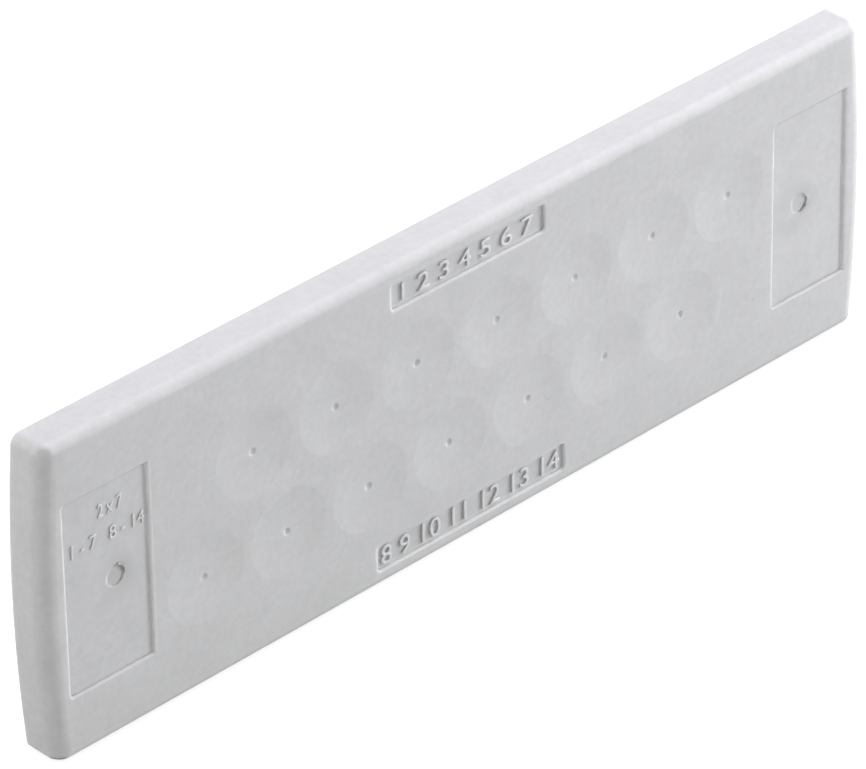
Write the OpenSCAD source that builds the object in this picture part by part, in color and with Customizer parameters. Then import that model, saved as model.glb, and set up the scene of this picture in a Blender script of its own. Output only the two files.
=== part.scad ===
// Cable entry plate: one soft grey moulding that closes a wall cut-out.
// Two staggered rows of thin dished membranes face the front, and a cable is pushed through any of them.
// The front faces -Y, +Z is up, and the origin is the middle of the rear sealing face. Sizes are in millimetres.

/* [Plate] */
// Length of the plate from end to end, at the middle of its bowed ends
plate_w = 147; // [145:0.5:152]
// Height of the plate
plate_h = 46.5; // [46:0.5:52]
// Thickness in front of the sealing face
plate_t = 5.7; // [5:0.1:8]
// How far each end swells out between its corners
end_bow = 1.15; // [0.6:0.05:2]
// Rounding of the long front edges
edge_r = 1.4; // [0.8:0.1:1.8]
// Rounding of the front edge at the two ends
end_edge_r = 2.5; // [1.8:0.1:2.8]
// How much larger the plate's corner radius is than the long edges' rounding
corner_over = 0.2; // [0.1:0.1:1.5]
// Radius of the ball that rounds off the front tip of each corner
tip_r = 8; // [6:0.5:10]
// How far that rounding runs back along the long edges
tip_reach = 2; // [1.5:0.1:4]
// Share of a sunk field's depth that the rounding of its rim takes
rim_share = 0.85; // [0.3:0.05:0.9]

/* [Membranes] */
// Number of membranes in each row
row_count = 7; // [3:1:7]
// Distance between neighbours in a row
pitch = 14.2; // [13.4:0.1:14.6]
// Distance between the two rows
row_gap = 14.5; // [13.6:0.1:16]
// How far the upper row is shifted along from the lower row
row_stagger = 8.8; // [6:0.1:9]
// Bore of the sleeve behind each membrane
sleeve_d = 12.4; // [9:0.1:12.6]
// How much wider the front dish is than the sleeve
dish_over = 0.5; // [0.2:0.1:0.6]
// Depth of the dish in the front of each membrane
dish_depth = 0.3; // [0.15:0.05:0.6]
// Thickness of a membrane at its middle
membrane_t = 0.9; // [0.6:0.1:1.5]
// Width of the small centring dimple
dimple_d = 1.2; // [0.6:0.1:1.6]
// Depth of the small centring dimple
dimple_depth = 0.22; // [0.2:0.05:0.45]
// Bevel at the rear mouth of each sleeve
sleeve_lead = 0.4; // [0.1:0.1:0.6]

/* [End panels] */
// Width of the sunk panel at each end
panel_w = 13.9; // [10:0.1:14]
// Height of the sunk panel
panel_h = 28.2; // [20:0.1:28.5]
// Flat border between a panel and the plate's end
panel_border = 3.85; // [3.6:0.05:5]
// Depth of the sunk panels
panel_depth = 0.45; // [0.35:0.05:1]
// Corner radius of the sunk panels
panel_r = 0.4; // [0.4:0.1:2]
// How far the gate mark sits from the panel's middle, towards the membranes
gate_offset = 1.5; // [0:0.1:2]
// How far the gate mark sits above the panel's middle
gate_lift = -0.2; // [-2:0.1:2]
// Width of the hollow around a gate mark
gate_dish_d = 7.6; // [5:0.1:8]
// Depth of the hollow around a gate mark
gate_dish_depth = 0.16; // [0.08:0.02:0.3]
// Width of the gate mark
gate_d = 2.8; // [1.5:0.1:3.5]
// How deep the gate mark is sunk in its hollow
gate_sink = 0.14; // [0.1:0.02:0.3]

/* [Label fields] */
// Width of the upper label field
upper_label_w = 27; // [20:0.5:34]
// Width of the lower label field
lower_label_w = 33.6; // [20:0.1:40]
// Height of the label fields
label_h = 3.8; // [3:0.1:3.8]
// Flat border between a label field and the start of the front rounding
label_border = 1; // [0.4:0.1:1.2]
// How far the label fields sit to the left of the plate's middle
label_shift = 0.6; // [0:0.1:2]
// Depth of the label fields
label_depth = 0.45; // [0.35:0.05:0.8]
// Corner radius of the label fields
label_r = 0.5; // [0.4:0.1:1.4]

/* [Rear] */
// Width of the cut-out that the plate closes
cutout_w = 112; // [112:0.5:114]
// Height of the cut-out that the plate closes
cutout_h = 36; // [35:0.5:36]
// Play between the spigot and the cut-out, on each side
cutout_play = 0.5; // [0.2:0.1:0.8]
// How far the spigot reaches into the cut-out
spigot_depth = 4; // [2:0.5:8]
// Corner radius of the spigot
spigot_r = 3; // [1.5:0.5:5]
// Bevel that leads the spigot into the cut-out
spigot_lead = 0.8; // [0.2:0.1:1.2]
// Distance of the sealing bead's centre line from the cut-out
seal_gap = 2.2; // [1.8:0.1:2.6]
// Radius of the half-round sealing bead
seal_r = 0.6; // [0.3:0.1:0.8]
// Distance between the fixing holes along the plate
fix_w = 130; // [128:0.5:132]
// Distance between the fixing holes up the plate
fix_h = 32; // [30:0.5:32]
// Width of the blind fixing holes
fix_d = 3.3; // [2.5:0.1:4.2]
// Depth of the blind fixing holes
fix_depth = 4; // [3:0.1:4]

/* [Hidden] */
$fn = 96;
eps = 0.5;
lap = 3;
corner_proud = 0.02;
rim_proud = 0.01;
rim_lap = 0.3;
corner_r = edge_r + corner_over;
half_h = plate_h / 2;
end_r = (half_h * half_h + end_bow * end_bow) / (2 * end_bow);
end_cx = plate_w / 2 - end_r;
corner_y = half_h - corner_r;
corner_x = end_cx + sqrt(pow(end_r - corner_r, 2) - pow(corner_y, 2));
end_a = atan2(corner_y, corner_x - end_cx);
edge_in = (1 - sqrt(0.5)) * edge_r;
tip_b = 4 * edge_in + 2 * tip_reach;
tip_c = 2 * edge_in * edge_in + tip_reach * tip_reach - tip_r * tip_r;
tip_in = (tip_b + sqrt(tip_b * tip_b - 12 * tip_c)) / 6;
dish_r = (sleeve_d + dish_over) / 2;
sleeve_end = plate_t - dish_depth - membrane_t;
panel_x = plate_w / 2 - panel_border - panel_w / 2;
gate_x = panel_x - gate_offset;
label_y = half_h - edge_r - label_border - label_h / 2;
spigot_w = cutout_w - 2 * cutout_play;
spigot_h = cutout_h - 2 * cutout_play;
seal_w = cutout_w + 2 * seal_gap;
seal_h = cutout_h + 2 * seal_gap;
seal_corner_r = spigot_r + seal_gap;

// Quarter of a disc, in the first quadrant
module quarter_disc(r) {
  intersection() {
    circle(r);
    square(r);
  }
}

// Rectangle with rounded corners, about its middle
module rounded_field(w, h, r) {
  square([w - 2 * r, h], center = true);
  square([w, h - 2 * r], center = true);
  for (sx = [0, 1], sy = [0, 1])
    mirror([sx, 0])
      mirror([0, sy])
        translate([w / 2 - r, h / 2 - r])
          quarter_disc(r);
}

// Half section of the plate from its middle out to x = reach, with the front edge rounded
module edge_section(reach, r) {
  square([reach, plate_t - r]);
  translate([0, plate_t - r])
    square([reach - r, r]);
  translate([reach - r, plate_t - r])
    quarter_disc(r);
}

// Section through the spigot's edge, with its lead-in bevel at the far end
module spigot_section(inner, reach) {
  polygon([
    [inner, eps],
    [inner, -spigot_depth],
    [reach - spigot_lead, -spigot_depth],
    [reach, spigot_lead - spigot_depth],
    [reach, eps]
  ]);
}

// Straight run of a section along X, with the section's x up and its y to the front
module run_x(length) {
  translate([-length / 2, 0, 0])
    rotate([90, 0, 90])
      linear_extrude(length)
        children();
}

// Section across the whole plate, with both long front edges rounded
module bar_section() {
  for (sx = [0, 1])
    mirror([sx, 0])
      edge_section(half_h, edge_r);
}

// Round slab whose rim is one bowed end of the plate
module end_slab() {
  translate([end_cx, 0, 0])
    rotate_extrude($fn = 720)
      edge_section(end_r, end_edge_r);
}

// What a corner loses: the wedge beyond the corner's axis, except for a rounded post.
// The post stands a hair proud of the sides, so that its round runs out into them.
module corner_cut() {
  far = 2 * corner_r;
  difference() {
    translate([0, 0, -eps])
      linear_extrude(plate_t + 2 * eps)
        polygon([[0, 0], [far * cos(end_a), far * sin(end_a)], [far, far], [0, far]]);
    translate([0, 0, -2 * eps])
      cylinder(h = plate_t - edge_r + 2 * eps, r = corner_r + corner_proud);
    translate([0, 0, corner_proud])
      rotate_extrude()
        edge_section(corner_r + corner_proud, edge_r);
  }
}

// What the front tip of a corner loses: all that lies outside a ball set tip_in from its three sides
module tip_cut() {
  side = tip_reach + 1.2;
  difference() {
    translate([-side, -side, -side])
      cube(side + lap);
    translate([-tip_in, -tip_in, -tip_in])
      sphere(tip_r);
  }
}

// The flange: bowed ends, rounded corners with eased front tips, and a front edge rounded more at the ends
module flange() {
  difference() {
    intersection() {
      run_x(plate_w + 2 * lap)
        bar_section();
      end_slab();
      mirror([1, 0, 0])
        end_slab();
    }
    for (sx = [0, 1], sy = [0, 1])
      mirror([sx, 0, 0])
        mirror([0, sy, 0])
          translate([corner_x, corner_y, 0]) {
            corner_cut();
            translate([corner_r, corner_r, plate_t])
              tip_cut();
          }
  }
}

// The block on the rear that centres the plate in its cut-out
module spigot() {
  run = [spigot_w - 2 * spigot_r, spigot_h - 2 * spigot_r];
  translate([0, 0, -spigot_depth])
    linear_extrude(spigot_depth + eps)
      square([run[0] - 2, run[1] - 2], center = true);
  for (a = [0, 180])
    rotate([0, 0, a])
      translate([0, run[1] / 2, 0])
        run_x(run[0])
          spigot_section(-lap, spigot_r);
  for (a = [90, 270])
    rotate([0, 0, a])
      translate([0, run[0] / 2, 0])
        run_x(run[1])
          spigot_section(-lap, spigot_r);
  for (sx = [0, 1], sy = [0, 1])
    mirror([sx, 0, 0])
      mirror([0, sy, 0])
        translate([run[0] / 2, run[1] / 2, 0])
          rotate_extrude(angle = 90)
            spigot_section(0, spigot_r);
}

// Half-round bead on the sealing face, around the cut-out
module seal_bead() {
  run = [seal_w - 2 * seal_corner_r, seal_h - 2 * seal_corner_r];
  for (a = [0, 180])
    rotate([0, 0, a])
      translate([0, seal_h / 2, 0])
        run_x(run[0])
          circle(seal_r, $fn = 48);
  for (a = [90, 270])
    rotate([0, 0, a])
      translate([0, seal_w / 2, 0])
        run_x(run[1])
          circle(seal_r, $fn = 48);
  for (sx = [0, 1], sy = [0, 1])
    mirror([sx, 0, 0])
      mirror([0, sy, 0])
        translate([run[0] / 2, run[1] / 2, 0])
          rotate_extrude(angle = 90)
            translate([seal_corner_r, 0])
              circle(seal_r, $fn = 48);
}

// Shallow spherical hollow with its rim of radius r at z = 0, opening upwards
module shallow_dish(r, depth) {
  ball_r = (r * r + depth * depth) / (2 * depth);
  rotate_extrude()
    intersection() {
      translate([0, ball_r - depth])
        circle(ball_r, $fn = 1440);
      translate([0, -2 * depth])
        square([r + 0.8, 2 * depth + eps]);
    }
}

// Places of the membranes
module at_membranes() {
  for (row = [-1, 1], i = [0 : row_count - 1])
    translate([(i - (row_count - 1) / 2) * pitch + row * row_stagger / 2, row * row_gap / 2, 0])
      children();
}

// The front hollow and the rear sleeve that leave one thin membrane between them
module membrane_cuts() {
  ball_r = (dimple_d * dimple_d / 4 + dimple_depth * dimple_depth) / (2 * dimple_depth);
  translate([0, 0, plate_t])
    shallow_dish(dish_r, dish_depth);
  translate([0, 0, plate_t - dish_depth - dimple_depth + ball_r])
    rotate([0, 90, 0])
      sphere(ball_r, $fn = 32);
  translate([0, 0, -spigot_depth - eps])
    cylinder(h = sleeve_end + spigot_depth + eps, d = sleeve_d);
  translate([0, 0, -spigot_depth - eps])
    cylinder(
      h = sleeve_lead + eps,
      d1 = sleeve_d + 2 * sleeve_lead + 2 * eps,
      d2 = sleeve_d
    );
}

// Section of what a sunk field's rim loses to its rounding, with x = r at the field's wall.
// The round stands a hair proud of the wall and the front, so that it runs out into them.
module rim_section(r, rim) {
  difference() {
    translate([r - rim_lap, plate_t - rim])
      square([rim_lap + rim, rim + eps]);
    translate([r + rim, plate_t - rim])
      circle(rim + rim_proud, $fn = 48);
  }
}

// Sunk field in the front, with a rounded rim
module field_cut(w, h, r, depth) {
  run = [w - 2 * r, h - 2 * r];
  rim = rim_share * depth;
  translate([0, 0, plate_t - depth])
    linear_extrude(depth + eps)
      rounded_field(w, h, r);
  for (a = [0, 180])
    rotate([0, 0, a])
      translate([0, run[1] / 2, 0])
        run_x(run[0])
          rim_section(r, rim);
  for (a = [90, 270])
    rotate([0, 0, a])
      translate([0, run[0] / 2, 0])
        run_x(run[1])
          rim_section(r, rim);
  for (sx = [0, 1], sy = [0, 1])
    mirror([sx, 0, 0])
      mirror([0, sy, 0])
        translate([run[0] / 2, run[1] / 2, 0])
          rotate_extrude(angle = 90)
            rim_section(r, rim);
}

// Mark left where the mould was filled: a flat round pit in the middle of a shallow hollow
module gate_cut() {
  shallow_dish(gate_dish_d / 2, gate_dish_depth);
  translate([0, 0, -gate_dish_depth - gate_sink])
    cylinder(h = gate_dish_depth + gate_sink + 2 * eps, d = gate_d, $fn = 48);
}

// Sunk panel with its gate mark
module panel_cut() {
  translate([panel_x, 0, 0])
    field_cut(panel_w, panel_h, panel_r, panel_depth);
  translate([gate_x, gate_lift, plate_t - panel_depth])
    gate_cut();
}

// Sunk label field
module label_cut(w) {
  translate([-label_shift, 0, 0])
    field_cut(w, label_h, label_r, label_depth);
}

// Blind holes for the fixing screws, open to the rear
module fixing_cuts() {
  for (sx = [-1, 1], sy = [-1, 1])
    translate([sx * fix_w / 2, sy * fix_h / 2, -eps])
      cylinder(h = fix_depth + eps, d = fix_d, $fn = 48);
}

// The whole moulding, turned so that its front faces -Y
module entry_plate() {
  color([0.76, 0.77, 0.78])
    rotate([90, 0, 0])
      difference() {
        union() {
          flange();
          spigot();
          seal_bead();
        }
        at_membranes() membrane_cuts();
        for (sx = [0, 1])
          mirror([sx, 0, 0])
            panel_cut();
        translate([0, label_y, 0])
          label_cut(upper_label_w);
        translate([0, -label_y, 0])
          label_cut(lower_label_w);
        fixing_cuts();
      }
}

entry_plate();
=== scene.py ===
"""Visual model of a soft light-grey cable entry plate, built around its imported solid."""

import logging
import math
from dataclasses import dataclass
from enum import Enum
from typing import Iterable, Optional, Sequence, Union

import bmesh
import bpy
from mathutils import Matrix, Vector


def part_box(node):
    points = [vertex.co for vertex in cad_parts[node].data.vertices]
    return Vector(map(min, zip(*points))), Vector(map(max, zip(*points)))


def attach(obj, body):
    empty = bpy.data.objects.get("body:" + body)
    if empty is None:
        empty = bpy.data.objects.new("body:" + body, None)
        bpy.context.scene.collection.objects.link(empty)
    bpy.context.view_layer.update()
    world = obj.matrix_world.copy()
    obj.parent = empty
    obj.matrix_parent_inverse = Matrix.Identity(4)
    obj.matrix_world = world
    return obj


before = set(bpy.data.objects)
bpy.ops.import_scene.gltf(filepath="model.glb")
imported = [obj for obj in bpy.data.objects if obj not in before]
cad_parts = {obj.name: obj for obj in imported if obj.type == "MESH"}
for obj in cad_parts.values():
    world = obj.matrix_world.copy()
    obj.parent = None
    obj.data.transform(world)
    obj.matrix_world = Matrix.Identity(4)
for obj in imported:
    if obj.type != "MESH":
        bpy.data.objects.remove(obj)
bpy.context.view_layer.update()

Triple = tuple[float, float, float]
Socket = bpy.types.NodeSocket
Feed = Union[float, Socket]

MM = 0.001
PLATE_NODE = "entry_plate"
BODY = "root"

# Places on the plate in millimetres: its front, the sunk floors, the panels, gates and labels
FRONT_Y = -5.7
SUNK_Y = -5.25
PANEL_X = 62.7
PANEL_LENGTH = 13.9
PANEL_HEIGHT = 28.2
GATE_X = 61.2
GATE_Z = -0.2
LABEL_X = -0.6
LABEL_Z = 18.95
LABEL_HEIGHT = 3.8

log = logging.getLogger("entry_plate")


class PanelSide(Enum):
    """The two sunk end panels, by the sign of their place along the plate."""

    LEFT = -1
    RIGHT = 1


class NodeBench:
    """Adds shader nodes to one node tree and wires them together."""

    def __init__(self, tree: bpy.types.NodeTree) -> None:
        """Start on an empty tree.

        Args:
            tree: The node tree to fill; what it holds is cleared first.
        """
        self.tree = tree
        self.tree.nodes.clear()

    def add(self, kind: str, **settings: object) -> bpy.types.Node:
        """Add one node and set its plain properties.

        Args:
            kind: Blender's type name of the node.
            settings: Properties to set on the node.

        Returns:
            The new node.
        """
        node = self.tree.nodes.new(kind)
        for name, value in settings.items():
            setattr(node, name, value)
        return node

    def feed(self, target: Socket, value: object) -> None:
        """Wire a socket into a target, or write a plain value on it.

        Args:
            target: The input that takes the value.
            value: A socket to link, or a number or tuple to write.
        """
        if isinstance(value, bpy.types.NodeSocket):
            self.tree.links.new(value, target)
        else:
            target.default_value = value

    def math(self, operation: str, first: Feed, second: Feed = 0.0, third: Feed = 0.0) -> Socket:
        """Add a Math node.

        Args:
            operation: The node's operation.
            first: The first operand.
            second: The second operand.
            third: The third operand, where the operation has one.

        Returns:
            The result's socket.
        """
        node = self.add("ShaderNodeMath", operation=operation)
        for socket, value in zip(node.inputs, (first, second, third)):
            self.feed(socket, value)
        return node.outputs[0]

    def smooth(self, value: Feed, low: float, high: float) -> Socket:
        """Add a smooth step that runs from 0 at low to 1 at high.

        Args:
            value: The value to step.
            low: Where the step starts; it may lie above high for a falling step.
            high: Where the step ends.

        Returns:
            The result's socket.
        """
        node = self.add("ShaderNodeMapRange", interpolation_type="SMOOTHSTEP")
        rising = low < high
        span = (low, high, 0.0, 1.0) if rising else (high, low, 1.0, 0.0)
        for socket, item in zip(node.inputs, (value, *span)):
            self.feed(socket, item)
        return node.outputs[0]

    def noise(
        self, place: Socket, scale: float, detail: float = 3.0, rough: float = 0.55
    ) -> Socket:
        """Add a Noise texture.

        Args:
            place: The coordinates.
            scale: Waves per metre.
            detail: Octaves.
            rough: How strong each finer octave is.

        Returns:
            The noise value's socket, about 0 to 1.
        """
        node = self.add("ShaderNodeTexNoise")
        self.feed(node.inputs["Vector"], place)
        self.feed(node.inputs["Scale"], scale)
        self.feed(node.inputs["Detail"], detail)
        self.feed(node.inputs["Roughness"], rough)
        return node.outputs["Fac"]

    def away(self, place: Socket, point: Triple) -> Socket:
        """Give the distance from a fixed point.

        Args:
            place: The coordinates.
            point: The fixed point.

        Returns:
            The distance's socket.
        """
        node = self.add("ShaderNodeVectorMath", operation="DISTANCE")
        self.feed(node.inputs[0], place)
        self.feed(node.inputs[1], point)
        return node.outputs["Value"]

    def along(self, place: Socket, point: Triple, heading: Triple) -> Socket:
        """Give how far a place lies from a fixed point along a heading.

        Args:
            place: The coordinates.
            point: The fixed point.
            heading: A direction of length 1.

        Returns:
            The run's socket.
        """
        shift = self.add("ShaderNodeVectorMath", operation="SUBTRACT")
        self.feed(shift.inputs[0], place)
        self.feed(shift.inputs[1], point)
        run = self.add("ShaderNodeVectorMath", operation="DOT_PRODUCT")
        self.feed(run.inputs[0], shift.outputs["Vector"])
        self.feed(run.inputs[1], heading)
        return run.outputs["Value"]

    def swing(self, value: Socket, reach: float) -> Socket:
        """Turn a 0 to 1 value into a swing of the given reach about 0."""
        return self.math("MULTIPLY_ADD", value, 2.0 * reach, -reach)

    def total(self, parts: Sequence[Feed]) -> Socket:
        """Add several values.

        Args:
            parts: Two or more values or sockets.

        Returns:
            The sum's socket.
        """
        result = parts[0]
        for part in parts[1:]:
            result = self.math("ADD", result, part)
        return result


@dataclass(frozen=True)
class Spot:
    """A round mark with a soft edge on the front: a speck, a tiny pit, a smudge, and at the gates
    painted shade and a painted highlight.

    Lengths are in millimetres, the tone is a part of the base colour.
    """

    x: float
    z: float
    reach: float
    tone: float
    core: float = 0.3
    y: float = -5.6

    def tone_at(self, bench: NodeBench, place: Socket) -> Socket:
        """Give the mark's change of tone.

        Args:
            bench: The material's bench.
            place: Object coordinates.

        Returns:
            The tone's socket.
        """
        away = bench.away(place, (self.x * MM, self.y * MM, self.z * MM))
        near = bench.smooth(away, self.reach * MM, self.core * self.reach * MM)
        return bench.math("MULTIPLY", near, self.tone)


@dataclass(frozen=True)
class ScuffAndPaintedShade:
    """Part of a ring on the front: a scuff rubbed into the skin around a membrane, and at the left
    gate a painted shade on the right side of its pit.

    Lengths are in millimetres, angles in degrees from the plate's long axis.
    """

    x: float
    z: float
    radius: float
    width: float
    heading: float
    spread: float
    tone: float

    def tone_at(self, bench: NodeBench, place: Socket) -> Socket:
        """Give the mark's change of tone.

        Args:
            bench: The material's bench.
            place: Object coordinates.

        Returns:
            The tone's socket.
        """
        middle = (self.x * MM, FRONT_Y * MM, self.z * MM)
        turn = math.radians(self.heading)
        away = bench.away(place, middle)
        run = bench.along(place, middle, (math.cos(turn), 0.0, math.sin(turn)))
        off = bench.math("ABSOLUTE", bench.math("SUBTRACT", away, self.radius * MM))
        band = bench.smooth(off, 0.5 * self.width * MM, 0.0)
        half = math.radians(0.5 * self.spread)
        arc = bench.smooth(bench.math("DIVIDE", run, away), math.cos(half), math.cos(0.5 * half))
        return bench.math("MULTIPLY", bench.math("MULTIPLY", band, arc), self.tone)


@dataclass(frozen=True)
class FieldToneAndPaintedLight:
    """Tone at a sunk field: a band along its rim and a tone over its floor. Most of these marks are
    painted light and shade: lightened shaded walls, dimmed rim highlights, rims lightened as
    painted highlights, and painted shadow under top edges.

    Lengths are in millimetres, the tones are parts of the base colour.
    """

    x: float
    z: float
    length: float
    height: float
    rim_tone: float
    floor_tone: float
    band: float = 0.55
    rim_core: float = 0.4
    floor_start: float = 0.5
    floor_full: float = 1.2

    def tone_at(self, bench: NodeBench, place: Socket) -> Socket:
        """Give the field's change of tone, painted light and shade included.

        Args:
            bench: The material's bench.
            place: Object coordinates.

        Returns:
            The tone's socket.
        """
        split = bench.add("ShaderNodeSeparateXYZ")
        bench.feed(split.inputs[0], place)
        sides = (("X", self.x, self.length), ("Z", self.z, self.height))
        outs = []
        for axis, middle, span in sides:
            off = bench.math("ABSOLUTE", bench.math("SUBTRACT", split.outputs[axis], middle * MM))
            outs.append(bench.math("SUBTRACT", off, 0.5 * span * MM))
        edge = bench.math("MAXIMUM", *outs)
        band = self.band * MM
        rim = bench.smooth(bench.math("ABSOLUTE", edge), band, self.rim_core * band)
        floor = bench.smooth(edge, -self.floor_start * band, -self.floor_full * band)
        # The rim band carries painted light on shaded walls, painted shade over rim highlights and
        # painted shadow under top edges, as each mark sets it.
        painted_light_tone = bench.math("MULTIPLY", rim, self.rim_tone)
        return bench.math("MULTIPLY_ADD", floor, self.floor_tone, painted_light_tone)


FRONT_MARKS: tuple[Union[Spot, ScuffAndPaintedShade, FieldToneAndPaintedLight], ...] = (
    FieldToneAndPaintedLight(-PANEL_X, 0.0, PANEL_LENGTH, PANEL_HEIGHT, -0.015, -0.004),
    FieldToneAndPaintedLight(PANEL_X, 0.0, PANEL_LENGTH, PANEL_HEIGHT, -0.020, 0.012),
    # Painted light: the shaded right walls of both end panels are lightened.
    FieldToneAndPaintedLight(-55.62, 0.0, 0.0, 27.4, 0.19, 0.0, 0.40),
    FieldToneAndPaintedLight(69.62, 0.0, 0.0, 27.4, 0.22, 0.0, 0.40),
    # Painted shade: the rim highlights along the left and bottom edges of the right panel are
    # dimmed.
    FieldToneAndPaintedLight(55.60, 0.0, 0.0, 27.8, -0.05, 0.0, 0.45),
    FieldToneAndPaintedLight(PANEL_X, -14.25, 13.4, 0.0, -0.04, 0.0, 0.45),
    # Painted shadow below the top edges of both end panels.
    FieldToneAndPaintedLight(-PANEL_X, 13.95, 13.0, 0.0, -0.07, 0.0, 0.30),
    FieldToneAndPaintedLight(PANEL_X, 13.95, 13.0, 0.0, -0.10, 0.0, 0.30),
    # Painted highlight: the rims of both labels are lightened all round; their floors are a little
    # darker.
    FieldToneAndPaintedLight(LABEL_X, LABEL_Z, 27.0, LABEL_HEIGHT, 0.04, -0.04),
    FieldToneAndPaintedLight(LABEL_X, -LABEL_Z, 33.6, LABEL_HEIGHT, 0.055, -0.04),
    # Painted shade around both gate hollows, darkest to the lower left at the right gate, and a
    # painted highlight on the right gate's torn vestige.
    Spot(-GATE_X, GATE_Z, 4.6, -0.080, 0.30, -5.1),
    Spot(60.0, -1.0, 5.6, -0.105, 0.25, -5.1),
    Spot(62.55, -0.2, 0.9, 0.240, 0.35, -5.05),
    Spot(-32.4, 0.6, 2.6, 0.045),
    Spot(-35.0, 1.9, 2.2, 0.030),
    Spot(-40.6, 15.8, 2.8, 0.022),
    Spot(-46.5, 19.4, 3.6, 0.022),
    Spot(-63.4, -9.6, 4.0, 0.022),
    Spot(42.4, 16.2, 4.2, -0.030),
    Spot(22.6, 4.8, 1.4, 0.035),
    Spot(51.9, -10.9, 0.45, -0.16),
    Spot(12.9, -8.4, 0.35, -0.12),
    Spot(13.4, -8.9, 0.40, -0.13),
    Spot(13.0, -9.3, 0.30, -0.10),
    Spot(-8.3, 3.0, 0.40, -0.08),
    Spot(-7.6, 3.1, 0.35, 0.09),
    Spot(1.7, -1.7, 0.35, -0.09),
    Spot(44.7, 4.6, 0.35, -0.08),
    Spot(46.8, -1.4, 0.35, -0.06),
    ScuffAndPaintedShade(-38.2, 7.25, 9.3, 0.9, 172.0, 100.0, 0.040),
    ScuffAndPaintedShade(-38.2, 7.25, 8.2, 0.6, 140.0, 70.0, 0.030),
    ScuffAndPaintedShade(38.2, -7.25, 7.4, 1.0, -12.0, 90.0, 0.060),
    ScuffAndPaintedShade(GATE_X, GATE_Z, 6.8, 1.6, 250.0, 150.0, 0.022),
    # Painted shade in the left gate's pit: darker along its right side and over its inside.
    ScuffAndPaintedShade(-GATE_X, GATE_Z, 1.5, 0.6, -5.0, 190.0, -0.20),
    Spot(-GATE_X, GATE_Z, 1.5, -0.045, 0.70, -5.0),
)


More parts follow.
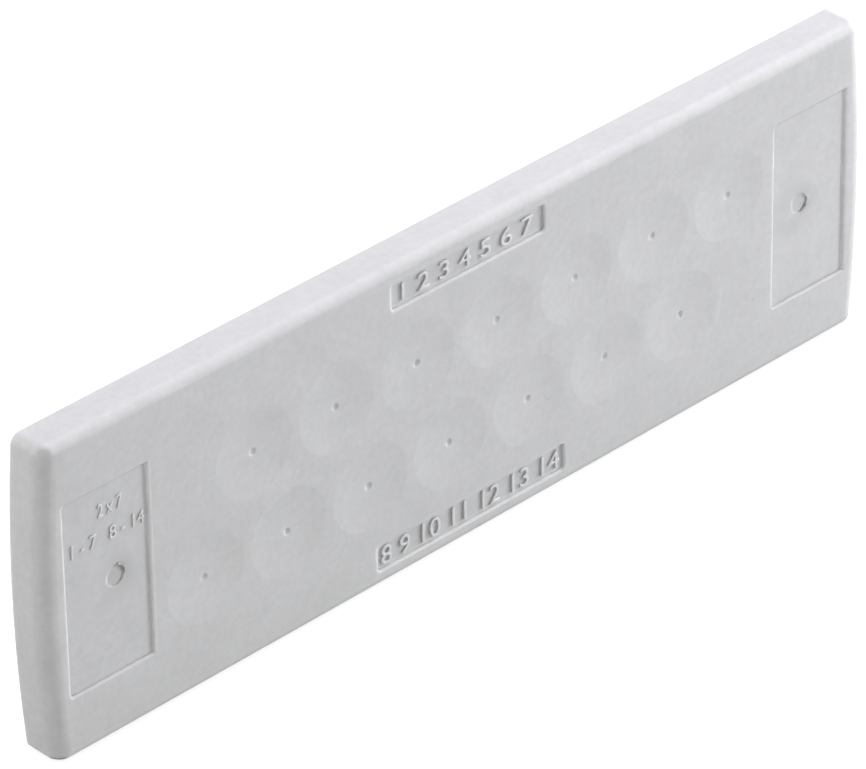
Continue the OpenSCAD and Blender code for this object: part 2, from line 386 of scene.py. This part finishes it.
@dataclass(frozen=True)
class ElastomerFinish:
    """Soft light-grey moulded elastomer, a little dusty and mottled, with marks of use and painted
    light and shade on its front.

    Lengths are in metres, tones are parts of the base colour.
    """

    name: str = "soft_grey_elastomer"
    colour: Triple = (0.643, 0.645, 0.648)
    softness: float = 1.0
    soft_reach: float = 1.30 * MM
    roughness: float = 0.62
    roughness_swing: float = 0.10
    handling_scale: float = 117.0
    specular: float = 0.35
    cloud_scale: float = 45.0
    cloud_tone: float = 0.020
    blotch_scale: float = 240.0
    blotch_tone: float = 0.055
    dust_scale: float = 900.0
    dust_tone: float = 0.105
    marks: tuple[Union[Spot, ScuffAndPaintedShade, FieldToneAndPaintedLight], ...] = FRONT_MARKS
    mark_depth: tuple[float, float] = (-4.5 * MM, -4.8 * MM)
    mark_break: tuple[float, float] = (0.25, 0.60)
    grain_scale: float = 5200.0
    grain_height: float = 0.010 * MM
    wave_scale: float = 160.0
    wave_height: float = 0.020 * MM

    def material(self) -> bpy.types.Material:
        """Build the node material.

        Returns:
            The material, ready to go into a slot.
        """
        made = bpy.data.materials.new(self.name)
        made.use_nodes = True
        bench = NodeBench(made.node_tree)
        place = bench.add("ShaderNodeTexCoord").outputs["Object"]
        shader = bench.add("ShaderNodeBsdfPrincipled")
        shader.inputs["Specular IOR Level"].default_value = self.specular
        shader.inputs["Subsurface Weight"].default_value = self.softness
        shader.inputs["Subsurface Radius"].default_value = (1.0, 1.0, 1.0)
        shader.inputs["Subsurface Scale"].default_value = self.soft_reach
        bench.feed(shader.inputs["Base Color"], self._colour(bench, place))
        bench.feed(shader.inputs["Roughness"], self._roughness(bench, place))
        bench.feed(shader.inputs["Normal"], self._normal(bench, place))
        output = bench.add("ShaderNodeOutputMaterial")
        bench.feed(output.inputs["Surface"], shader.outputs["BSDF"])
        return made

    def _colour(self, bench: NodeBench, place: Socket) -> Socket:
        """Mottle the base colour with clouds, blotches, dust and the front marks: marks of use,
        painted light and painted shade.

        Args:
            bench: The material's bench.
            place: Object coordinates.

        Returns:
            The colour's socket.
        """
        clouds = bench.swing(bench.noise(place, self.cloud_scale, 3.0), self.cloud_tone)
        blotches = bench.swing(bench.noise(place, self.blotch_scale, 3.0), self.blotch_tone)
        dust = bench.swing(bench.noise(place, self.dust_scale, 4.0, 0.65), self.dust_tone)
        tone = bench.total((1.0, clouds, blotches, dust, self._marks(bench, place)))
        scale = bench.add("ShaderNodeVectorMath", operation="SCALE")
        scale.inputs[0].default_value = self.colour
        bench.feed(scale.inputs["Scale"], tone)
        return scale.outputs["Vector"]

    def _marks(self, bench: NodeBench, place: Socket) -> Feed:
        """Add up the marks on the front, painted light and shade among them: the field tones are
        even, the rest is broken by noise.

        Args:
            bench: The material's bench.
            place: Object coordinates.

        Returns:
            The change of tone, 0 away from the front.
        """
        if not self.marks:
            return 0.0
        split = bench.add("ShaderNodeSeparateXYZ")
        bench.feed(split.inputs[0], place)
        front = bench.smooth(split.outputs["Y"], *self.mark_depth)
        ragged = bench.smooth(bench.noise(place, self.dust_scale, 3.0), *self.mark_break)
        even, broken = [], []
        for mark in self.marks:
            (even if isinstance(mark, FieldToneAndPaintedLight) else broken).append(mark.tone_at(bench, place))
        marks = bench.math("MULTIPLY_ADD", bench.total(broken), ragged, bench.total(even))
        return bench.math("MULTIPLY", marks, front)

    def _roughness(self, bench: NodeBench, place: Socket) -> Socket:
        """Vary the roughness with handling marks and dust.

        Args:
            bench: The material's bench.
            place: Object coordinates.

        Returns:
            The roughness socket.
        """
        handled = bench.swing(bench.noise(place, self.handling_scale, 4.0), self.roughness_swing)
        return bench.total((self.roughness, handled))

    def _normal(self, bench: NodeBench, place: Socket) -> Socket:
        """Raise the fine moulded grain and the slow waves of the skin.

        Args:
            bench: The material's bench.
            place: Object coordinates.

        Returns:
            The normal's socket.
        """
        grain = bench.math("MULTIPLY", bench.noise(place, self.grain_scale, 2.0), self.grain_height)
        waves = bench.math("MULTIPLY", bench.noise(place, self.wave_scale, 2.0), self.wave_height)
        bump = bench.add("ShaderNodeBump")
        bump.inputs["Strength"].default_value = 1.0
        bump.inputs["Distance"].default_value = 1.0
        bench.feed(bump.inputs["Height"], bench.total((grain, waves)))
        return bump.outputs["Normal"]


@dataclass
class EntryPlate:
    """The moulded plate itself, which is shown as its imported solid.

    Its outer roundings are shaded as one skin with the faces they run out into, while
    the rims of the shallow dishes and of the sunk fields stay crisp.
    """

    finish: bpy.types.Material
    node: str = PLATE_NODE
    weld: float = 0.002 * MM
    crease: float = math.radians(32.0)
    rim_crease: float = math.radians(1.0)
    tip_crease: float = math.radians(60.0)
    tip_start: float = 69.95 * MM
    front_slack: float = 0.01 * MM
    rim_fields: tuple[tuple[float, float], ...] = ((70.2 * MM, 15.0 * MM), (18.0 * MM, 21.5 * MM))

    def dress(self) -> bpy.types.Object:
        """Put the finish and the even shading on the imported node.

        Returns:
            The node's object.
        """
        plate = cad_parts[self.node]
        plate.data.materials.clear()
        plate.data.materials.append(self.finish)
        plate.modifiers.new("one_skin", "NODES").node_group = self._one_skin()
        flat_first = plate.modifiers.new("flat_faces_lead", "WEIGHTED_NORMAL")
        flat_first.mode = "FACE_AREA"
        flat_first.keep_sharp = True
        return plate

    def _one_skin(self) -> bpy.types.NodeTree:
        """Weld the solid's faces into one skin and mark which edges stay crisp.

        Returns:
            The node group for the plate's modifier.
        """
        tree = bpy.data.node_groups.new("one_skin", "GeometryNodeTree")
        for way in ("INPUT", "OUTPUT"):
            tree.interface.new_socket("Geometry", in_out=way, socket_type="NodeSocketGeometry")
        bench = NodeBench(tree)
        plain = bench.add("GeometryNodeRemoveAttribute")
        plain.inputs["Name"].default_value = "custom_normal"
        bench.feed(plain.inputs["Geometry"], bench.add("NodeGroupInput").outputs[0])
        welded = bench.add("GeometryNodeMergeByDistance")
        welded.inputs["Distance"].default_value = self.weld
        bench.feed(welded.inputs["Geometry"], plain.outputs["Geometry"])
        smooth = bench.add("GeometryNodeSetShadeSmooth", domain="FACE")
        bench.feed(smooth.inputs["Geometry"], welded.outputs["Geometry"])
        crisp = bench.add("GeometryNodeSetShadeSmooth", domain="EDGE")
        bench.feed(crisp.inputs["Geometry"], smooth.outputs["Geometry"])
        bench.feed(crisp.inputs["Shade Smooth"], self._runs_smooth(bench))
        bench.feed(bench.add("NodeGroupOutput").inputs[0], crisp.outputs["Geometry"])
        return tree

    def _runs_smooth(self, bench: NodeBench) -> Socket:
        """Tell smooth edges from crisp ones.

        Args:
            bench: The node group's bench.

        Returns:
            A socket that is 1 on each edge that is shaded smooth.
        """
        angle = bench.add("GeometryNodeInputMeshEdgeAngle").outputs["Unsigned Angle"]
        place = bench.add("ShaderNodeSeparateXYZ")
        bench.feed(place.inputs[0], bench.add("GeometryNodeInputPosition").outputs[0])
        front_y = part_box(self.node)[0].y
        front = bench.math("COMPARE", place.outputs["Y"], front_y, self.front_slack)
        fields = [self._within(bench, place, field_half) for field_half in self.rim_fields]
        inside = bench.math("MAXIMUM", *fields)
        rim = bench.math("MULTIPLY", front, inside)
        limit = bench.math("MULTIPLY_ADD", rim, self.rim_crease - self.crease, self.crease)
        tip = bench.math("GREATER_THAN", bench.math("ABSOLUTE", place.outputs["X"]), self.tip_start)
        limit = bench.math("MULTIPLY_ADD", tip, self.tip_crease - self.crease, limit)
        return bench.math("LESS_THAN", angle, limit)

    @staticmethod
    def _within(bench: NodeBench, place: bpy.types.Node, half: tuple[float, float]) -> Socket:
        """Tell places inside a field about the plate's middle.

        Args:
            bench: The node group's bench.
            place: The node that splits the place into X, Y and Z.
            half: Half the field's length and height.

        Returns:
            A socket that is 1 inside the field.
        """
        along = bench.math("LESS_THAN", bench.math("ABSOLUTE", place.outputs["X"]), half[0])
        across = bench.math("LESS_THAN", bench.math("ABSOLUTE", place.outputs["Z"]), half[1])
        return bench.math("MULTIPLY", along, across)


@dataclass(frozen=True)
class Line:
    """One line of plain numbers and where its middle stands on a sunk floor, in millimetres."""

    text: str
    length: float
    height: float
    x: float
    z: float


@dataclass
class RaisedNumbers:
    """Plain raised numerals that stand on a sunk floor of the plate."""

    finish: bpy.types.Material
    rise: float = 0.28 * MM
    tuck: float = 0.05 * MM
    edge: float = 0.06 * MM
    weight: float = -0.06 * MM
    weld: float = 0.0005 * MM
    digit_share: float = 0.72
    curve_steps: int = 6
    edge_steps: int = 2

    def build(self, name: str, lines: Iterable[Line]) -> bpy.types.Object:
        """Build some lines as one mesh piece.

        Args:
            name: The piece's name.
            lines: The lines to raise.

        Returns:
            The piece, riding on the plate.
        """
        mesh = bpy.data.meshes.new(name)
        skin = bmesh.new()
        for line in lines:
            self._raise_line(skin, line)
        bmesh.ops.remove_doubles(skin, verts=skin.verts, dist=self.weld)
        bmesh.ops.recalc_face_normals(skin, faces=skin.faces)
        skin.to_mesh(mesh)
        skin.free()
        return settle(name, mesh, self.finish)

    def _raise_line(self, skin: bmesh.types.BMesh, line: Line) -> None:
        """Cut one line out of the built-in font and stand it on its floor.

        Args:
            skin: The mesh that takes the line.
            line: The numbers and their place.
        """
        curve = bpy.data.curves.new("numeral_cut", "FONT")
        curve.body = line.text
        curve.align_x = "CENTER"
        curve.align_y = "CENTER"
        curve.size = line.height * MM / self.digit_share
        curve.resolution_u = self.curve_steps
        curve.extrude = 0.5 * (self.rise + self.tuck) - self.edge
        curve.bevel_depth = self.edge
        curve.bevel_resolution = self.edge_steps
        curve.offset = self.weight
        stand_in = bpy.data.objects.new("numeral_cut", curve)
        bpy.context.scene.collection.objects.link(stand_in)
        graph = bpy.context.evaluated_depsgraph_get()
        mesh = bpy.data.meshes.new_from_object(stand_in.evaluated_get(graph))
        bpy.data.objects.remove(stand_in)
        bpy.data.curves.remove(curve)
        mesh.transform(self._stand(mesh, line))
        skin.from_mesh(mesh)
        bpy.data.meshes.remove(mesh)

    def _stand(self, mesh: bpy.types.Mesh, line: Line) -> Matrix:
        """Fit a flat line to its length and turn it up on the front.

        Args:
            mesh: The line as the font gives it, about its own middle.
            line: The line's length and place.

        Returns:
            The transform into the plate's frame.
        """
        xs = [v.co.x for v in mesh.vertices]
        ys = [v.co.y for v in mesh.vertices]
        fit = Matrix.Diagonal((line.length * MM / (max(xs) - min(xs)), 1.0, 1.0, 1.0))
        middle_x, middle_y = 0.5 * (max(xs) + min(xs)), 0.5 * (max(ys) + min(ys))
        centre = Matrix.Translation((-middle_x, -middle_y, 0.0))
        lift = 0.5 * (self.rise - self.tuck)
        stand = Matrix.Translation((line.x * MM, SUNK_Y * MM - lift, line.z * MM))
        return stand @ Matrix.Rotation(0.5 * math.pi, 4, "X") @ fit @ centre


@dataclass(frozen=True)
class TornGate:
    """Torn skin at one gate mark: an uneven lip on the edge of the sunk round pit."""

    side: PanelSide
    start: float
    end: float
    reach: float = 0.20 * MM
    rise: float = 0.11 * MM
    middle_x: float = GATE_X * MM
    middle_z: float = GATE_Z * MM
    hollow_y: float = -5.11 * MM
    pit_radius: float = 1.4 * MM
    tuck: float = 0.06 * MM
    steps: int = 40
    arcs: int = 8
    slow_ripple: tuple[float, float] = (0.30, 11.0)
    quick_ripple: tuple[float, float] = (0.22, 27.0)
    least_swell: float = 0.08
    swell_power: float = 0.7
    steady_reach: float = 0.35

    def build(self, finish: bpy.types.Material) -> bpy.types.Object:
        """Sweep the lip around its part of the pit's edge.

        Args:
            finish: The plate's material.

        Returns:
            The piece, riding on the plate.
        """
        rings = [self._section(i / (self.steps - 1)) for i in range(self.steps)]
        count = len(rings[0])
        points = [point for ring in rings for point in ring]
        faces: list[list[int]] = []
        for i in range(self.steps - 1):
            for j in range(count):
                k = (j + 1) % count
                here, there = i * count, (i + 1) * count
                faces.append([here + j, here + k, there + k, there + j])
        faces.append(list(range(count)))
        faces.append([(self.steps - 1) * count + j for j in reversed(range(count))])
        name = f"{self.side.name.lower()}_gate_lip"
        mesh = bpy.data.meshes.new(name)
        mesh.from_pydata(points, [], faces)
        mesh.update()
        return settle(name, mesh, finish)

    def _section(self, share: float) -> list[Triple]:
        """Give one cross-section of the lip.

        Args:
            share: How far along the lip the section lies, from 0 to 1.

        Returns:
            The section's points, in the plate's frame.
        """
        turn = math.radians(self.start + share * (self.end - self.start))
        (slow, slow_rate), (quick, quick_rate) = self.slow_ripple, self.quick_ripple
        ripple = 1.0 + slow * math.sin(slow_rate * share + self.side.value)
        ripple += quick * math.sin(quick_rate * share)
        swell = (self.least_swell + math.sin(math.pi * share) ** self.swell_power) * ripple
        half = self.reach * (self.steady_reach + (1.0 - self.steady_reach) * swell)
        tall = self.rise * swell
        around = [math.pi * j / self.arcs for j in range(self.arcs + 1)]
        outline = [(-half * math.cos(a), tall * math.sin(a)) for a in around]
        outline += [(half, -self.tuck), (-half, -self.tuck)]
        out = self.pit_radius + half
        heading = Vector((math.cos(turn), 0.0, math.sin(turn)))
        middle = Vector((self.side.value * self.middle_x, self.hollow_y, self.middle_z))
        return [tuple(middle + heading * (out + u) - Vector((0.0, h, 0.0))) for u, h in outline]


def settle(name: str, mesh: bpy.types.Mesh, finish: bpy.types.Material) -> bpy.types.Object:
    """Turn a mesh into a piece that rides on the plate.

    Args:
        name: The piece's name.
        mesh: The piece's mesh, in the plate's frame.
        finish: The piece's material.

    Returns:
        The piece's object.
    """
    mesh.materials.append(finish)
    piece = bpy.data.objects.new(name, mesh)
    bpy.context.scene.collection.objects.link(piece)
    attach(piece, BODY)
    return piece


@dataclass(frozen=True)
class Lamp:
    """One soft box, placed by the direction in which it stands from the plate."""

    name: str
    direction: Triple
    weight: float
    size: float = 0.6
    distance: float = 0.9
    colour: Triple = (1.0, 1.0, 1.0)

    def light(self, albedo: float) -> bpy.types.Object:
        """Hang the lamp so that a face towards it takes the lamp's weight in tone.

        Args:
            albedo: The plate's base tone.

        Returns:
            The lamp's object.
        """
        data = bpy.data.lights.new(self.name, "AREA")
        data.shape = "DISK"
        data.size = self.size
        data.color = self.colour
        data.energy = self.weight * (math.pi * self.distance) ** 2 / albedo
        lamp = bpy.data.objects.new(self.name, data)
        towards = Vector(self.direction).normalized()
        lamp.location = towards * self.distance
        lamp.rotation_euler = towards.to_track_quat("Z", "Y").to_euler()
        bpy.context.scene.collection.objects.link(lamp)
        return lamp


@dataclass
class Studio:
    """The pale floor, the white surround and the soft lamps."""

    floor_z: float
    albedo: float
    floor_half: float = 3.0
    floor_shown: float = 0.45
    floor_glow: float = 0.75
    floor_bounce: float = 0.35
    surround: float = 0.03
    lamps: tuple[Lamp, ...] = (
        Lamp("top_rear_lamp", (0.0, 0.34, 0.94), 0.16, colour=(0.96, 0.94, 1.08)),
        Lamp("right_lamp", (0.660, 0.0, 0.751), 0.412, colour=(0.985, 0.975, 1.045)),
        Lamp("right_front_lamp", (0.847, -0.489, 0.208), 0.455, 0.3, colour=(0.99, 1.0, 1.010)),
        Lamp("front_lamp", (0.0, -0.978, 0.208), 0.20, 0.3, colour=(1.0, 0.998, 0.985)),
        Lamp("left_rear_lamp", (-0.6, 0.6, 0.52), 0.30, colour=(1.0, 0.99, 0.98)),
        Lamp("left_lamp", (-0.978, 0.0, 0.208), 0.18, 0.3, colour=(1.01, 0.99, 0.97)),
    )

    def build(self) -> list[bpy.types.Object]:
        """Lay the floor, set the surround and hang the lamps.

        Returns:
            The floor and the lamps.
        """
        self._surround()
        return [self._floor(), *(lamp.light(self.albedo) for lamp in self.lamps)]

    @staticmethod
    def _seen(bench: NodeBench) -> Socket:
        """Tell rays that show a background from those that carry light.

        Args:
            bench: The bench of the floor's or the surround's nodes.

        Returns:
            A socket that is 1 for camera, glossy and transmission rays.
        """
        path = bench.add("ShaderNodeLightPath")
        glossy = bench.math("MAXIMUM", path.outputs["Is Camera Ray"], path.outputs["Is Glossy Ray"])
        return bench.math("MAXIMUM", glossy, path.outputs["Is Transmission Ray"])

    def _surround(self) -> None:
        """Make the world white where it is seen and dim where it lights the plate."""
        world = bpy.data.worlds.new("surround")
        world.use_nodes = True
        bpy.context.scene.world = world
        bench = NodeBench(world.node_tree)
        strength = bench.math("MULTIPLY_ADD", self._seen(bench), 1.0 - self.surround, self.surround)
        background = bench.add("ShaderNodeBackground")
        bench.feed(background.inputs["Strength"], strength)
        background.inputs["Color"].default_value = (1.0, 1.0, 1.0, 1.0)
        output = bench.add("ShaderNodeOutputWorld")
        bench.feed(output.inputs["Surface"], background.outputs["Background"])

    def _floor(self) -> bpy.types.Object:
        """Lay a pale floor that is seen white and keeps the plate's shadow.

        Returns:
            The staged floor.
        """
        reach, level = self.floor_half, self.floor_z
        turns = ((-1, -1), (1, -1), (1, 1), (-1, 1))
        corners = [(x * reach, y * reach, level) for x, y in turns]
        mesh = bpy.data.meshes.new("floor")
        mesh.from_pydata(corners, [], [(0, 1, 2, 3)])
        mesh.materials.append(self._floor_paint())
        floor = bpy.data.objects.new("floor", mesh)
        bpy.context.scene.collection.objects.link(floor)
        return floor

    def _floor_paint(self) -> bpy.types.Material:
        """Mix the floor's seen white with the paint that bounces light.

        Returns:
            The floor's material.
        """
        paint = bpy.data.materials.new("floor_paint")
        paint.use_nodes = True
        bench = NodeBench(paint.node_tree)
        shown = bench.add("ShaderNodeBsdfDiffuse")
        shown.inputs["Color"].default_value = (self.floor_shown,) * 3 + (1.0,)
        glow = bench.add("ShaderNodeEmission")
        glow.inputs["Strength"].default_value = self.floor_glow
        white = bench.add("ShaderNodeAddShader")
        bench.feed(white.inputs[0], shown.outputs[0])
        bench.feed(white.inputs[1], glow.outputs[0])
        bounce = bench.add("ShaderNodeBsdfDiffuse")
        bounce.inputs["Color"].default_value = (self.floor_bounce,) * 3 + (1.0,)
        mix = bench.add("ShaderNodeMixShader")
        bench.feed(mix.inputs[0], self._seen(bench))
        bench.feed(mix.inputs[1], bounce.outputs[0])
        bench.feed(mix.inputs[2], white.outputs[0])
        output = bench.add("ShaderNodeOutputMaterial")
        bench.feed(output.inputs["Surface"], mix.outputs[0])
        return paint


@dataclass(frozen=True)
class PhotoCamera:
    """The camera at the photograph's viewing angle."""

    place: Triple = (-0.517067, -0.535228, 0.478033)
    right: Triple = (0.714159, -0.699849, -0.013739)
    up: Triple = (0.388175, 0.379626, 0.839765)
    forward: Triple = (0.582493, 0.605058, -0.542777)
    lens: float = 287.304
    sensor: float = 36.0
    far_limit: float = 50.0

    def build(self) -> bpy.types.Object:
        """Set the camera up and make it the scene's own.

        Returns:
            The camera's object.
        """
        data = bpy.data.cameras.new("photo_camera")
        data.sensor_fit = "HORIZONTAL"
        data.sensor_width = self.sensor
        data.lens = self.lens
        data.clip_end = self.far_limit
        camera = bpy.data.objects.new("photo_camera", data)
        turn = Matrix((self.right, self.up, tuple(-v for v in self.forward))).transposed()
        camera.matrix_world = Matrix.Translation(Vector(self.place)) @ turn.to_4x4()
        bpy.context.scene.collection.objects.link(camera)
        bpy.context.scene.camera = camera
        return camera


def report(piece: bpy.types.Object) -> None:
    """Log one finished piece."""
    log.info("%s: %s", piece.name, piece.type.lower())


def main() -> None:
    """Build the camera, the dressed plate, its numbers and the studio in order."""
    logging.basicConfig(level=logging.INFO, format="%(name)s: %(message)s")
    bpy.context.scene.view_settings.view_transform = "Standard"
    report(PhotoCamera().build())
    finish = ElastomerFinish()
    skin = finish.material()
    # Painted light: a lighter copy of the elastomer for the raised numerals, so their tops read
    # lit.
    painted_light_tone = ElastomerFinish(
        "number_elastomer_painted_light", (0.720, 0.722, 0.726), 0.5, 0.30 * MM, marks=()
    ).material()
    report(EntryPlate(skin).dress())
    strips = {
        "upper_numbers": Line("1 2 3 4 5 6 7", 23.3, 2.6, LABEL_X, LABEL_Z),
        "lower_numbers": Line("8 9 10 11 12 13 14", 32.2, 2.9, LABEL_X, -LABEL_Z),
    }
    for name, line in strips.items():
        report(RaisedNumbers(painted_light_tone).build(name, [line]))
    counts = (
        Line("2 x 7", 4.0, 2.0, -61.8, 10.5),
        Line("1 - 7   8 - 14", 12.0, 2.0, -62.3, 6.6),
    )
    small = RaisedNumbers(painted_light_tone, rise=0.15 * MM, edge=0.04 * MM, weight=-0.02 * MM)
    report(small.build("panel_numbers", counts))
    for gate in (TornGate(PanelSide.LEFT, -10.0, 95.0), TornGate(PanelSide.RIGHT, -80.0, 20.0)):
        report(gate.build(skin))
    for piece in Studio(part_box(PLATE_NODE)[0].z, finish.colour[1]).build():
        report(piece)


if __name__ == "__main__":
    main()
